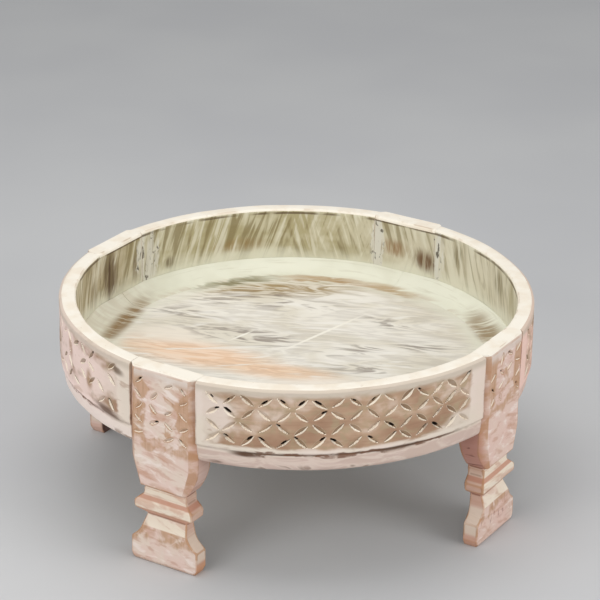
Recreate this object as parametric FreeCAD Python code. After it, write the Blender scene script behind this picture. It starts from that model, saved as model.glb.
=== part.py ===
import FreeCAD, Part
import math
import os

from FreeCAD import Vector

# Low round tray table: a ring of four curved rim panels between four plank legs,
# with a board floor held in a groove inside the ring.
# Millimetres, +Z up, origin on the ground below the centre, front panel towards -Y.

# Whole table
table_height = 305.0
rim_radius = 350.0
rim_wall = 25.0
tray_depth = 101.0
fit_gap = 0.2

# Rim panels
rim_outer_bevel = 3.5
rim_inner_bevel = 2.5
score_line_drop = 98.0
score_line_width = 6.0
score_line_depth = 4.0
band_set_back = 2.5
band_foot_set_back = 5.0
band_edge_bevel = 5.0
tongue_thickness = 10.0
tongue_length = 15.0
tongue_drop = 16.0
tongue_rise = 14.0

# Floor boards, held in a groove round the ring
floor_thickness = 18.0
groove_depth = 8.0
groove_lip = 6.0
board_count = 5
board_yaw = -24.0
board_seam = 0.5
board_tongue_length = 6.0
board_tongue_thickness = 6.0

# Hollow moulding between rim and floor
cove_width = 41.0
cove_height = 18.0
cove_lip = 1.0
cove_hollow = 4.5
cove_facets = 4

# Battens under the floor and their square nails
batten_place_share = 0.445
batten_end_gap = 12.0
batten_width = 60.0
batten_height = 22.0
batten_end_bevel = 10.0
nail_spread = 24.0
nail_stagger = 8.0
nail_point_cover = 4.0
nail_width = 4.0
nail_head_width = 9.0
nail_head_height = 2.0

# Leg heads and the block below the rim
leg_width = 110.0
leg_proud = 4.0
leg_block_depth = 41.0
leg_arris = 9.0
leg_arris_end = 4.0
block_drop = 58.0
block_taper_drop = 18.0

# Leg feet: heights above the ground
foot_corner_height = 9.0
foot_side_height = 36.0
foot_back_height = 49.0
foot_height = 57.0
foot_edge_bevel = 3.0

# Leg waists: shares of the height from the foot up to the block
lower_groove_share = 0.27
ridge_low_share = 0.43
ridge_top_share = 0.60
step_low_share = 0.76
step_top_share = 0.91
upper_groove_share = 0.95

# Leg mouldings: half widths seen from the front
foot_half_width = 56.0
foot_corner_width = 5.0
foot_top_half_width = 38.0
groove_half_width = 33.0
ridge_half_width = 49.0
step_half_width = 36.0
block_low_half_width = 39.0
block_taper_bulge = 3.0
foot_flare_hollow = 3.0

# Leg mouldings: distances back from the leg's front face
groove_set_back = 12.5
step_set_back = 8.5
ridge_set_back = 2.0
foot_set_back = 4.0
foot_depth = 24.0

# Places that follow from the sizes above
rim_inside = rim_radius - rim_wall
floor_top = table_height - tray_depth
floor_bottom = floor_top - floor_thickness
rim_bottom = floor_bottom - groove_lip
floor_radius = rim_inside + groove_depth - fit_gap
score_line_z = table_height - score_line_drop
tongue_top = table_height - tongue_drop
tongue_low = floor_top + tongue_rise
tongue_inside = rim_radius - (rim_wall + tongue_thickness) / 2
tongue_outside = tongue_inside + tongue_thickness
leg_half_width = leg_width / 2
leg_face = math.sqrt(rim_radius ** 2 - leg_half_width ** 2) + leg_proud
leg_head_inside = math.sqrt(rim_inside ** 2 - leg_half_width ** 2)
leg_block_inside = leg_face - leg_block_depth
foot_face = leg_face - foot_set_back
block_low = rim_bottom - block_drop
block_taper = rim_bottom - block_taper_drop
waist_height = block_low - foot_height
lower_groove = foot_height + lower_groove_share * waist_height
ridge_low = foot_height + ridge_low_share * waist_height
ridge_top = foot_height + ridge_top_share * waist_height
step_low = foot_height + step_low_share * waist_height
step_top = foot_height + step_top_share * waist_height
upper_groove = foot_height + upper_groove_share * waist_height
board_pitch = 2 * floor_radius / board_count
batten_offset = batten_place_share * floor_radius
batten_corner = batten_offset + batten_width / 2
batten_half_length = math.sqrt((rim_inside - batten_end_gap) ** 2 - batten_corner ** 2)
nail_length = batten_height + floor_thickness - nail_point_cover
reach = 2 * rim_radius

# Directions seen from the centre, in degrees from +X
quarter_angle = 90.0
panel_angles = {"front": -quarter_angle, "right": 0.0, "back": quarter_angle, "left": 2 * quarter_angle}
leg_angles = {
    "front_left": panel_angles["left"] + quarter_angle / 2,
    "front_right": panel_angles["front"] + quarter_angle / 2,
    "back_right": panel_angles["right"] + quarter_angle / 2,
    "back_left": panel_angles["back"] + quarter_angle / 2,
}

axis_z = Vector(0, 0, 1)
centre = Vector(0, 0, 0)


def turned(shape, angle):
    """A copy of the shape turned about the table's axis."""
    copy = shape.copy()
    copy.rotate(centre, axis_z, angle)
    return copy


def line(start, end):
    return Part.makeLine(start, end)


def bulged(start, end, bulge):
    """An arc from start to end that stands off the chord's middle by bulge."""
    middle = (start + end) * 0.5 + bulge
    return Part.Arc(start, middle, end).toShape()


def polygon_edges(points):
    return [line(start, end) for start, end in zip(points[:-1], points[1:])]


def face_of(edges):
    return Part.Face(Part.Wire(Part.__sortEdges__(edges)))


def section(radius, height):
    """A point of a section through the table's axis."""
    return Vector(radius, 0, height)


def ring_section(inside, outside, low, high):
    corners = [section(inside, low), section(outside, low), section(outside, high), section(inside, high)]
    return face_of(polygon_edges(corners + corners[:1]))


def swept_quarter(face):
    """A section swept a quarter turn about the axis, with its middle on +X."""
    return turned(face.revolve(centre, axis_z, quarter_angle), -quarter_angle / 2)


def leg_slot(inside, half_width, angle):
    """The room that a leg of this half width takes out of the ring, from a distance off the axis."""
    corner = Vector(inside, -half_width, -table_height / 2)
    return turned(Part.makeBox(reach, 2 * half_width, 2 * table_height, corner), angle)


def between_legs(shape, inside, half_width):
    """Cuts the leg slots off both ends of a quarter of the ring."""
    for angle in (-quarter_angle / 2, quarter_angle / 2):
        shape = shape.cut(leg_slot(inside, half_width, angle))
    return shape


def rim_section():
    """The panel's section: bevelled top, scored line and plain band outside, floor groove inside."""
    half_line = score_line_width / 2
    band_foot = rim_radius - band_foot_set_back
    groove_low = floor_bottom - fit_gap
    groove_top = floor_top + fit_gap
    points = [
        section(rim_inside, table_height - rim_inner_bevel),
        section(rim_inside + rim_inner_bevel, table_height),
        section(rim_radius - rim_outer_bevel, table_height),
        section(rim_radius, table_height - rim_outer_bevel),
        section(rim_radius, score_line_z + half_line),
        section(rim_radius - score_line_depth, score_line_z),
        section(rim_radius - band_set_back, score_line_z - half_line),
        section(band_foot, rim_bottom + band_edge_bevel),
        section(band_foot - band_edge_bevel, rim_bottom),
        section(rim_inside, rim_bottom),
        section(rim_inside, groove_low),
        section(rim_inside + groove_depth, groove_low),
        section(rim_inside + groove_depth, groove_top),
        section(rim_inside, groove_top),
    ]
    return face_of(polygon_edges(points + points[:1]))


def rim_panel():
    """A panel with a tongue on each end, which goes into the leg beside it."""
    body = between_legs(swept_quarter(rim_section()), 0, leg_half_width + fit_gap)
    core = ring_section(tongue_inside, tongue_outside, tongue_low, tongue_top)
    tongues = between_legs(swept_quarter(core), 0, leg_half_width - tongue_length)
    return body.fuse(tongues).removeSplitter()


def tongue_mortises():
    """What the tongues of two panels take out of the leg between them."""
    room = ring_section(
        tongue_inside - fit_gap, tongue_outside + fit_gap, tongue_low - fit_gap, tongue_top + fit_gap
    )
    return swept_quarter(room).cut(leg_slot(0, leg_half_width - tongue_length - fit_gap, 0))


def leg_front_half():
    """Edges of the leg's outline on one side of its middle, seen from the front."""

    def at(half_width, height):
        return Vector(0, half_width, height)

    taper_top = at(leg_half_width, block_taper)
    taper_low = at(block_low_half_width, block_low)
    flare_top = at(foot_top_half_width, foot_height)
    flare_low = at(foot_half_width, foot_side_height)
    head = [at(0, table_height), at(leg_half_width, table_height), taper_top]
    waist = [
        taper_low,
        at(groove_half_width, upper_groove),
        at(step_half_width, step_top),
        at(step_half_width, step_low),
        at(ridge_half_width, ridge_top),
        at(ridge_half_width, ridge_low),
        at(groove_half_width, lower_groove),
        flare_top,
    ]
    foot = [
        flare_low,
        at(foot_half_width, foot_corner_height),
        at(foot_half_width - foot_corner_width, 0),
        at(0, 0),
    ]
    taper = bulged(taper_top, taper_low, at(block_taper_bulge, 0))
    flare = bulged(flare_top, flare_low, at(-foot_flare_hollow, 0))
    return polygon_edges(head) + [taper] + polygon_edges(waist) + [flare] + polygon_edges(foot)


def leg_front():
    """The leg's front outline, cut through its whole depth."""
    half = Part.Wire(leg_front_half())
    other_half = half.mirror(centre, Vector(0, 1, 0))
    face = face_of(half.Edges + other_half.Edges)
    return face.extrude(Vector(reach, 0, 0))


def leg_side():
    """The leg's side outline with its mouldings, floor groove and seat, cut through its whole width."""
    foot_back = foot_face - foot_depth
    groove_back = leg_head_inside + groove_depth
    points = [
        section(leg_head_inside, table_height - rim_inner_bevel),
        section(leg_head_inside + rim_inner_bevel, table_height),
        section(leg_face - rim_outer_bevel, table_height),
        section(leg_face, table_height - rim_outer_bevel),
        section(leg_face, block_low),
        section(leg_face - groove_set_back, upper_groove),
        section(leg_face - step_set_back, step_top),
        section(leg_face - step_set_back, step_low),
        section(leg_face - ridge_set_back, ridge_top),
        section(leg_face - ridge_set_back, ridge_low),
        section(leg_face - groove_set_back, lower_groove),
        section(foot_face, foot_height),
        section(foot_face, foot_edge_bevel),
        section(foot_face - foot_edge_bevel, 0),
        section(foot_back, 0),
        section(foot_back, foot_back_height),
        section(leg_block_inside, block_taper),
        section(leg_block_inside, floor_bottom),
        section(groove_back, floor_bottom),
        section(groove_back, floor_top + fit_gap),
        section(leg_head_inside, floor_top + fit_gap),
    ]
    face = face_of(polygon_edges(points + points[:1]))
    face.translate(Vector(0, -reach / 2, 0))
    return face.extrude(Vector(0, reach, 0))


def arris_waste(side):
    """What the long bevel takes off one outer edge of the leg, narrowing down the block's taper."""

    def triangle(half_width, width, height):
        far_back = leg_face - width - leg_arris
        far_front = leg_face + leg_arris
        points = [
            Vector(far_front, (half_width + leg_arris) * side, height),
            Vector(far_back, (half_width + leg_arris) * side, height),
            Vector(far_front, (half_width - width - leg_arris) * side, height),
        ]
        return Part.makePolygon(points + points[:1])

    sections = [
        triangle(block_low_half_width, leg_arris_end, block_low),
        triangle(leg_half_width, leg_arris, block_taper),
        triangle(leg_half_width, leg_arris, table_height),
    ]
    return Part.makeLoft(sections, True, True)


def leg():
    """A leg that stands on +X."""
    blank = leg_front().common(leg_side())
    bevelled = blank.cut(arris_waste(1)).cut(arris_waste(-1))
    return bevelled.cut(tongue_mortises()).removeSplitter()


def cove():
    """The hollow moulding along one rim panel, from leg middle to leg middle."""
    wall = rim_inside - fit_gap
    top = floor_top + cove_height
    toe = rim_inside - cove_width
    hollow_top = section(wall - cove_lip, top)
    hollow_low = section(toe, floor_top + cove_lip)
    chord = hollow_low - hollow_top
    towards_corner = section(-chord.z, chord.x).normalize()
    hollow = bulged(hollow_low, hollow_top, towards_corner * cove_hollow).discretize(cove_facets + 1)
    back = [section(wall, top), section(wall, floor_top), section(toe, floor_top)]
    profile = face_of(polygon_edges(hollow + back + hollow[:1]))
    strip = between_legs(swept_quarter(profile), 0, fit_gap / 2)
    return between_legs(strip, leg_head_inside - fit_gap, leg_half_width)


def floor_disc():
    """The floor's outline, with a flat where it enters the groove of each leg."""
    disc = Part.makeCylinder(floor_radius, floor_thickness, Vector(0, 0, floor_bottom))
    flat = leg_head_inside + groove_depth - fit_gap
    square = Part.makeBox(2 * flat, 2 * flat, table_height, Vector(-flat, -flat, 0))
    return disc.common(turned(square, quarter_angle / 2))


def board_strip(low, width, bottom, thickness):
    """A strip along the boards, from low towards the back."""
    strip = Part.makeBox(2 * reach, width, thickness, Vector(-reach, low, bottom))
    return turned(strip, board_yaw)


def floor_board(index):
    """One board, with a groove in its front edge and a tongue on its back edge."""
    low = index * board_pitch - floor_radius
    width = board_pitch - board_seam
    middle = floor_bottom + floor_thickness / 2
    board = board_strip(low, width, floor_bottom, floor_thickness)
    if index < board_count - 1:
        tongue_bottom = middle - board_tongue_thickness / 2
        tongue = board_strip(low, width + board_tongue_length, tongue_bottom, board_tongue_thickness)
        board = board.fuse(tongue)
    if index > 0:
        room = board_tongue_thickness + 2 * fit_gap
        groove = board_strip(low - board_seam, board_tongue_length + fit_gap, middle - room / 2, room)
        board = board.cut(groove)
    return board.common(floor_disc()).removeSplitter()


def batten(side):
    """A batten across the boards, bevelled below at both ends."""
    half = batten_half_length
    low = floor_bottom - batten_height
    points = [
        Vector(0, -half, floor_bottom),
        Vector(0, half, floor_bottom),
        Vector(0, half, low + batten_end_bevel),
        Vector(0, half - batten_end_bevel, low),
        Vector(0, batten_end_bevel - half, low),
        Vector(0, -half, low + batten_end_bevel),
    ]
    bar = face_of(polygon_edges(points + points[:1])).extrude(Vector(batten_width, 0, 0))
    bar.translate(Vector(side * batten_offset - batten_width / 2, 0, 0))
    return turned(bar, board_yaw)


def nail(gap):
    """A square nail driven upwards, with room of the given gap round its shank."""
    width = nail_width + 2 * gap
    shank = Part.makeBox(width, width, nail_length + gap, Vector(-width / 2, -width / 2, 0))
    half_head = nail_head_width / 2
    head = Part.makeBox(
        nail_head_width, nail_head_width, nail_head_height, Vector(-half_head, -half_head, -nail_head_height)
    )
    return head.fuse(shank)


def batten_nails(gap):
    """A pair of nails for each board in each batten, set on the slant so as not to split it."""
    furthest = batten_half_length - batten_end_bevel
    nails = []
    for side in (-1, 1):
        for index in range(board_count):
            board_low = index * board_pitch - floor_radius
            low = max(board_low + board_tongue_length, -furthest)
            high = min(board_low + board_pitch - board_tongue_length, furthest)
            for end in (-0.5, 0.5):
                along = side * batten_offset + end * nail_spread
                across = (low + high) / 2 + end * nail_stagger
                one = nail(gap)
                one.translate(Vector(along, across, floor_bottom - batten_height))
                nails.append(turned(one, board_yaw))
    return Part.makeCompound(nails)


def build():
    nodes = {}
    for name, angle in panel_angles.items():
        nodes["rim_" + name] = turned(rim_panel(), angle)
        nodes["cove_" + name] = turned(cove(), angle)
    for name, angle in leg_angles.items():
        nodes["leg_" + name] = turned(leg(), angle)
    nail_room = batten_nails(fit_gap)
    for index in range(board_count):
        nodes["floor_board_%d" % (index + 1)] = floor_board(index).cut(nail_room)
    for name, side in (("left", -1), ("right", 1)):
        nodes["batten_" + name] = batten(side).cut(nail_room)
    nodes["batten_nails"] = batten_nails(0.0)
    return nodes


os.makedirs("parts", exist_ok=True)
for node, shape in build().items():
    shape.exportStep("parts/%s.step" % node)
    print(node, len(shape.Solids), round(shape.Volume), shape.isValid())
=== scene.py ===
import math

import bmesh
import bpy
import numpy as np
from mathutils import Matrix, Vector


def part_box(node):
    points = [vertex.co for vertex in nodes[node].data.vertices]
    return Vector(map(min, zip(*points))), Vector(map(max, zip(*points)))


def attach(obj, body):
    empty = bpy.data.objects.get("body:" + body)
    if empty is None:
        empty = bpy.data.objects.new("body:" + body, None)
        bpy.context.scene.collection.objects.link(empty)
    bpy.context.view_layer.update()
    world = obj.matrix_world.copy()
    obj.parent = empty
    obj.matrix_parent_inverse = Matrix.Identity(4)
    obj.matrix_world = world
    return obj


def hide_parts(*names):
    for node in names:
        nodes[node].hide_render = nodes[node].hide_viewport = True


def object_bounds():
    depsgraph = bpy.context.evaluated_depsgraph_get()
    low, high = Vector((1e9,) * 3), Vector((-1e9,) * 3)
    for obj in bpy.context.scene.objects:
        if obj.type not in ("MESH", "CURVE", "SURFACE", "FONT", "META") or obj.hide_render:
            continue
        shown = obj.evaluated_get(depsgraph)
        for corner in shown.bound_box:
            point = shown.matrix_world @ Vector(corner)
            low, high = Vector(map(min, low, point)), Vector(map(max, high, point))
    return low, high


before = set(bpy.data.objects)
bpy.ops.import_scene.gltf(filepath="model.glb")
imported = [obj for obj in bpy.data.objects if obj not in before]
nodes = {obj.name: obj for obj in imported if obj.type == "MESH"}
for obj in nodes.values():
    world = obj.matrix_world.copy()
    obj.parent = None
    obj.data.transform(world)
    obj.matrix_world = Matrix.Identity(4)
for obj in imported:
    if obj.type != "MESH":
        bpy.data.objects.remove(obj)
cad_low, cad_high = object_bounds()

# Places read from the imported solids, in metres
panel_angles = {"front": 270.0, "right": 0.0, "back": 90.0, "left": 180.0}
leg_angles = {"front_left": 225.0, "front_right": 315.0, "back_right": 45.0, "back_left": 135.0}
rim_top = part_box("rim_front")[1].z
rim_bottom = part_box("rim_front")[0].z
rim_radius = cad_high.x
floor_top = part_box("floor_board_1")[1].z
quarter = math.radians(90.0)

# Camera, fitted to the photograph
camera_turn = math.radians(-13.1)
camera_distance = 9.3136 * rim_radius
camera_height = rim_top + 3.9762 * rim_radius
camera_pitch = math.radians(23.38)
camera_pan = 0.0015
camera_roll = 0.0143
camera_lens = 144.0
camera_sensor = 36.0
camera_reach = 100.0

# Studio: each lamp's size, power and place
lamps = {
    "overhead": (1.6, 17.0, (-0.2, 0.1, 2.2)),
    "left_fill": (1.8, 34.0, (-2.5, -1.9, 1.4)),
    "right_fill": (1.8, 34.0, (2.2, -2.2, 1.4)),
}
lamp_target = (0, 0, 0.2)
sky_strength = 0.50
stage_size = 16.0
stage_middle = (0, 4.0, 0)

# Chip-carved petals, and the pits in some of them
petal_run = 0.02485
petal_rise = 0.0197
petal_half_width = 0.0042
petal_depth = 0.0034
petal_bottom = -0.60
petal_shift = 0.0007
petal_length_spread = 0.06
petal_width_spread = 0.10
petal_depth_spread = 0.15
petal_least_shade = 0.25
pit_depth = 0.004
pit_half_length = 0.0052
pit_half_width = 0.0017
pit_start = -0.2
pit_rise = 0.15
pit_steepness = 1.6
pit_size_spread = 0.25
pit_size_limits = (0.5, 1.4)
pit_chance_edge_rows = 0.55
pit_chance_inner_rows = 0.18
carve_step = 0.0011
carve_drop = 0.0095
field_border = 0.010

# Carved fields, and how they differ from panel to panel and leg to leg
panel_carving = {
    "columns": 16, "rows": 4, "length": 0.86, "width": 1.0,
    "depth": 1.0, "pit": 1.0, "tilt": 0.05, "missing": 0.0,
}
leg_carving = {
    "columns": 4, "rows": 5, "length": 0.60, "width": 0.74,
    "depth": 0.65, "pit": 0.65, "tilt": 0.20, "missing": 0.18,
}
panel_carvings = dict.fromkeys(panel_angles, panel_carving)
panel_carvings["left"] = dict(panel_carving, length=0.76, depth=0.8, tilt=0.13, missing=0.28)
panel_carve_shift = {"front": -0.009, "right": 0.004, "back": 0.006, "left": -0.005}
panel_wash = {"front": 0.0, "right": 0.07, "back": 0.02, "left": 0.12}
leg_rows = {"front_left": 5, "front_right": 4, "back_right": 5, "back_left": 5}
leg_toe_rub = {"front_left": 1.0, "front_right": 0.4, "back_right": 0.4, "back_left": 0.1}

# Hand work: how far surfaces wander, in which waves, and how small edges are eased
wander = 0.0005
top_wander = 0.8 * wander
cove_wander = 0.6 * wander
wave_count = 5
wave_damping = 3.0
panel_waves = (38.0, 30.0)
leg_waves = (45.0, 40.0)
cove_waves = 30.0
edge_ease = 0.0012
rim_ease_passes = 2
leg_ease_passes = 3
joint_gap = 0.0002

# Fineness of the meshes, and how close counts as touching
coarse_step = 0.003
leg_side_steps = 12
leg_back_steps = 16
leg_cuts = 5
cove_across_steps = 14
cove_along_steps = 160
hollow_degree = 3
cap_insets = (0.0015, 0.0050)
bevel_reach = 0.0045
hair = 0.00005
touch = 4 * hair
weld = 1e-6
least_length = 1e-9
height_digits = 4
sharp_angle = math.radians(38.0)

# Material slots of panels and legs
outer_slot = 0
top_slot = 1
wall_slot = 2

# How strongly a vertex and its neighbours count towards its convexity: worn edges where it stands out,
# painted shade in grooves
edge_gain = 3.0
edge_own_share = 0.6
edge_near_share = 0.8

# First seeds of the random draws
panel_seed = 11
leg_seed = 31
cove_seed = 61
second_seed = 50

# Paint by place along +X: where a coat starts and where it is full
rim_pink_right = (0.16, 0.33)
rim_pink_left = (-0.28, -0.34)
wall_pale_right = (0.10, 0.30)
wall_soft_right = (0.15, 0.30)
wall_dull_left = (-0.15, -0.26)
leg_pink_right = (0.05, 0.20)

# Paint by height above the ground: where a coat starts and where it is full, or its borders and their fade
# Painted shade: a greyer band just below the top edge of the outside
rim_brow_shade = (rim_top - 0.017, rim_top - 0.007)
seam_fade = (rim_top - 0.012, rim_top - 0.060)
wall_brink = (rim_top - 0.0075, rim_top - 0.005, 0.001)
wall_foot = (floor_top + 0.062, floor_top + 0.030)
leg_brow = (rim_top - 0.022, rim_top - 0.007)
head_side = (rim_top - 0.060, rim_top - 0.030)
block_side = (0.124, 0.190, 0.006)
leg_waist = (0.073, 0.120, 0.001)
cream_bands = ((0.058, 0.073), (0.086, 0.0985), (0.1055, 0.117))
foot_rub = (0.046, 0.056, 0.010)
foot_side = (0.022, 0.054, 0.006)
foot_scrape = (0.028, 0.046, 0.010)
toe_side = (0.026, 0.010)

# Paint by distance, in the same way: from the ends, above the score, below the carving, past the cove's toe
end_wear = (0.012, 0.050)
end_fill = (0.030, 0.100)
seam_width = (0.0025, 0.0)
leg_strip = (0.010, 0.024, 0.011)
score_fringe = (-0.005, 0.0, 0.002)
band_start = (-0.004, -0.008)
low_edge = (-0.016, -0.023)
leg_hem = (0.001, 0.008, 0.009)
cove_thin = (0.016, 0.0)
floor_hem = (-0.035, -0.004)
edge_line = (-0.009, 0.0)

# How far bands and lines fade out at their borders, and how far ragged borders stray
band_fade = 0.0015
line_fade = 0.008
fringe_stray = 0.0025
line_stray = 0.006
rub_stray = 0.010
foot_stray = 0.030

# Grain, cores of soft patches, gloss and fine relief of the finishes
grain_turn = math.radians(24.0)
noise_roughness = 0.55
patch_core = 0.25
gloss_span = (0.3, 0.7)
sheen = 0.25
stage_relief = 0.0002
iron_relief = 0.0004
thick_relief = 0.0005
wood_relief = 0.0006
brush_relief = 0.0008


def on_rim(angle, height):
    """A place on the rim, unrolled: how far round the table from +X, and how high."""
    return math.radians(angle) * rim_radius, height


# Whiter places on the outside: place, half length and half height, slant, and strength
white_patches = (
    (on_rim(237.0, 0.250), (0.060, 0.060), 0.0, 0.16),
    (on_rim(298.0, 0.218), (0.062, 0.030), -8.0, 0.30),
    (on_rim(198.0, 0.255), (0.110, 0.060), 0.0, 0.10),
)

# Marks on the outside: place, half length and half height, slant, colour and strength
outside_marks = (
    (on_rim(246.0, 0.2045), (0.034, 0.0060), 0.0, "#5E4331", 0.95),
    (on_rim(281.0, 0.2070), (0.055, 0.0055), 2.0, "#5E4331", 0.85),
    (on_rim(238.5, 0.1860), (0.016, 0.0040), 0.0, "#5E4331", 0.85),
    (on_rim(208.5, 0.2130), (0.048, 0.0100), -7.0, "#6A4F3E", 0.90),
    (on_rim(211.5, 0.2850), (0.022, 0.0090), -12.0, "#6E5A46", 0.85),
    (on_rim(200.5, 0.2450), (0.013, 0.0220), 0.0, "#A57F5C", 0.85),
    (on_rim(190.0, 0.2700), (0.012, 0.0260), 10.0, "#B08A70", 0.75),
)

# Marks on the inner wall, given in the same way
wall_marks = (
    (on_rim(48.5, 0.258), (0.044, 0.020), 0.0, "#94704B", 0.75),
    (on_rim(38.0, 0.248), (0.034, 0.024), 22.0, "#6E5136", 0.95),
    (on_rim(26.5, 0.276), (0.016, 0.028), 0.0, "#7A6E4E", 0.70),
    (on_rim(6.0, 0.272), (0.024, 0.030), 0.0, "#7A6E4E", 0.70),
    (on_rim(-6.0, 0.272), (0.040, 0.034), 0.0, "#A89E78", 0.70),
    (on_rim(94.0, 0.248), (0.070, 0.016), 0.0, "#94794C", 0.65),
    (on_rim(140.0, 0.260), (0.026, 0.056), 0.0, "#553E2A", 1.00),
    (on_rim(149.0, 0.248), (0.020, 0.036), 0.0, "#7A6A50", 0.60),
    (on_rim(128.5, 0.252), (0.012, 0.032), 0.0, "#6A5A48", 0.70),
    (on_rim(115.5, 0.240), (0.014, 0.014), 0.0, "#6A5A3C", 0.80),
)
wall_drips = (
    (on_rim(123.5, 0.262), (0.040, 0.070), 0.0, 0.80),
    (on_rim(53.7, 0.255), (0.017, 0.070), 0.0, 0.95),
    (on_rim(33.6, 0.262), (0.017, 0.070), 0.0, 0.95),
)

# Marks in the tray: middle, half length and half width, direction in degrees, colour and strength
orange_rubs = (
    ((-0.150, 0.022), (0.190, 0.060), -34.0, "#F8CAA0", 0.82),
    ((-0.030, -0.072), (0.115, 0.038), -24.0, "#F8CAA0", 0.65),
)
olive_rubs = (
    ((0.020, 0.245), (0.210, 0.060), -10.0, "#A88F62", 1.00),
)
brown_rubs = (
    ((-0.233, 0.159), (0.130, 0.021), 58.7, "#8A6E48", 0.95),
    ((0.298, 0.012), (0.095, 0.026), 92.0, "#8A6E48", 0.80),
)
# Painted shade along the cove's toe, mixed with rubbed wood: middle, half sizes, direction, colour and
# strength
toe_shade_and_rub_lines = (
    ((-0.035, 0.282), (0.100, 0.050), 6.0, "#7E7650", 0.90),
    ((0.105, 0.255), (0.090, 0.050), -24.0, "#A98452", 0.85),
    ((0.195, 0.200), (0.075, 0.050), -46.0, "#B08F60", 0.80),
)
dull_rubs = (
    ((-0.255, 0.170), (0.150, 0.170), 0.0, "#C8BCA6", 0.60),
)
pale_rubs_and_painted_light = (
    # Painted light: a paler strip across the front of the floor that lightens the front rim's shade; the
    # others are pale rubs and scratches
    ((0.020, -0.130), (0.190, 0.040), -13.0, "#F4EADB", 0.80),
    ((-0.178, 0.100), (0.085, 0.042), -24.0, "#F4EADB", 0.75),
    ((0.056, 0.058), (0.125, 0.0040), 34.7, "#F6F1E4", 1.00),
    ((-0.068, 0.072), (0.034, 0.0035), 33.4, "#F6F1E4", 1.00),
)

# Greyer places on the floor: middle, half length and half width, direction and strength
grey_rubs = (
    ((-0.030, 0.210), (0.120, 0.034), -9.0, 0.75),
    ((-0.133, 0.174), (0.085, 0.030), -26.0, 0.70),
    ((-0.069, 0.070), (0.130, 0.042), -28.0, 1.00),
    ((0.088, -0.012), (0.075, 0.026), 2.0, 0.80),
    ((0.074, -0.083), (0.060, 0.026), -23.0, 0.80),
    ((0.186, -0.021), (0.055, 0.024), -21.0, 0.65),
    ((0.158, 0.075), (0.055, 0.026), -50.0, 0.75),
    ((0.040, 0.165), (0.100, 0.032), -15.0, 0.60),
)
grey_everywhere = 0.24
grey_most = 0.85


def turn_matrix(degrees):
    return Matrix.Rotation(math.radians(degrees), 4, "Z")


def new_object(name, data):
    item = bpy.data.objects.new(name, data)
    bpy.context.scene.collection.objects.link(item)
    return item


def round_places(radius, angle, height):
    """Points from their distance to the table's axis, their angle round it and their height."""
    return np.stack([radius * np.cos(angle), radius * np.sin(angle), height], axis=-1)


def wobble(points, scale, seed):
    """Smooth waves that differ from place to place, between about -1 and 1."""
    rng = np.random.default_rng(seed)
    total = np.zeros(points.shape[:-1])
    for _ in range(wave_count):
        direction = rng.normal(size=3)
        total += np.sin(points @ direction * scale + rng.uniform(0.0, 2.0 * math.pi))
    return total / wave_damping


def eased(values, passes, ends):
    """A row of values with its corners eased; a closed row joins end to start."""
    for _ in range(passes):
        before = np.roll(values, 1)
        after = np.roll(values, -1)
        if ends == "kept":
            before[0] = after[0] = values[0]
            before[-1] = after[-1] = values[-1]
        values = (before + 2 * values + after) / 4
    return values


# Sections of the solids

def merged_copy(node, matrix):
    """The node's mesh as a bmesh with its split vertices joined, moved by a matrix."""
    solid = bmesh.new()
    solid.from_mesh(nodes[node].data)
    bmesh.ops.remove_doubles(solid, verts=solid.verts, dist=weld)
    bmesh.ops.transform(solid, matrix=matrix, verts=solid.verts)
    return solid


def cut_loop(solid, place, normal):
    """The outline where a plane cuts the solid, as a list of points in order."""
    copy = solid.copy()
    geometry = copy.verts[:] + copy.edges[:] + copy.faces[:]
    cut = bmesh.ops.bisect_plane(copy, geom=geometry, plane_co=place, plane_no=normal)["geom_cut"]
    edges = [item for item in cut if isinstance(item, bmesh.types.BMEdge)]
    links = {}
    for edge in edges:
        for one, other in (edge.verts, reversed(edge.verts[:])):
            links.setdefault(one, []).append(other)
    start = max(links, key=lambda vert: vert.co.length)
    loop = [start]
    step = links[start][0]
    while step is not start:
        loop.append(step)
        step = next(vert for vert in links[step] if vert is not loop[-2])
    points = [vert.co.copy() for vert in loop]
    copy.free()
    return points


def front_section(node):
    """The section of a front node through its middle, as points of radius and height."""
    solid = merged_copy(node, Matrix.Identity(4))
    loop = [Vector((-point.y, point.z)) for point in cut_loop(solid, (0, 0, 0), (1, 0, 0))]
    solid.free()
    return loop


def leg_solid():
    """A leg's mesh turned to stand on +X."""
    return merged_copy("leg_back_right", turn_matrix(-leg_angles["back_right"]))


def leg_half_width():
    """Half the width of a leg's head."""
    solid = leg_solid()
    width = max(vert.co.y for vert in solid.verts if vert.co.z > rim_bottom)
    solid.free()
    return width


def leg_levels():
    """Heights, half widths, face half widths, fronts and backs of a leg, from level cuts, slightly worn."""
    solid = leg_solid()
    breaks = sorted({round(vert.co.z, height_digits) for vert in solid.verts})
    rows = []
    for low, high in zip(breaks[:-1], breaks[1:]):
        if high - low < touch:
            continue
        for height in np.linspace(low + hair, high - hair, leg_cuts):
            loop = cut_loop(solid, (0, 0, height), (0, 0, 1))
            front = max(point.x for point in loop)
            back = min(point.x for point in loop)
            half = max(abs(point.y) for point in loop)
            edge = max(abs(point.y) for point in loop if point.x > front - touch)
            rows.append((height, half, edge, front, back))
    solid.free()
    known, *columns = np.array(rows).T
    heights = np.linspace(0.0, rim_top, math.ceil(rim_top / carve_step) + 1)
    worn = [eased(np.interp(heights, known, column), leg_ease_passes, "kept") for column in columns]
    return np.column_stack([heights] + worn)


# Meshes made of rings

def mesh_values(items, key, width, kind=float):
    """One property of a mesh's vertices or edges, in a row for each."""
    values = np.empty(len(items) * width, dtype=kind)
    items.foreach_get(key, values)
    return values.reshape(-1, width)


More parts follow.
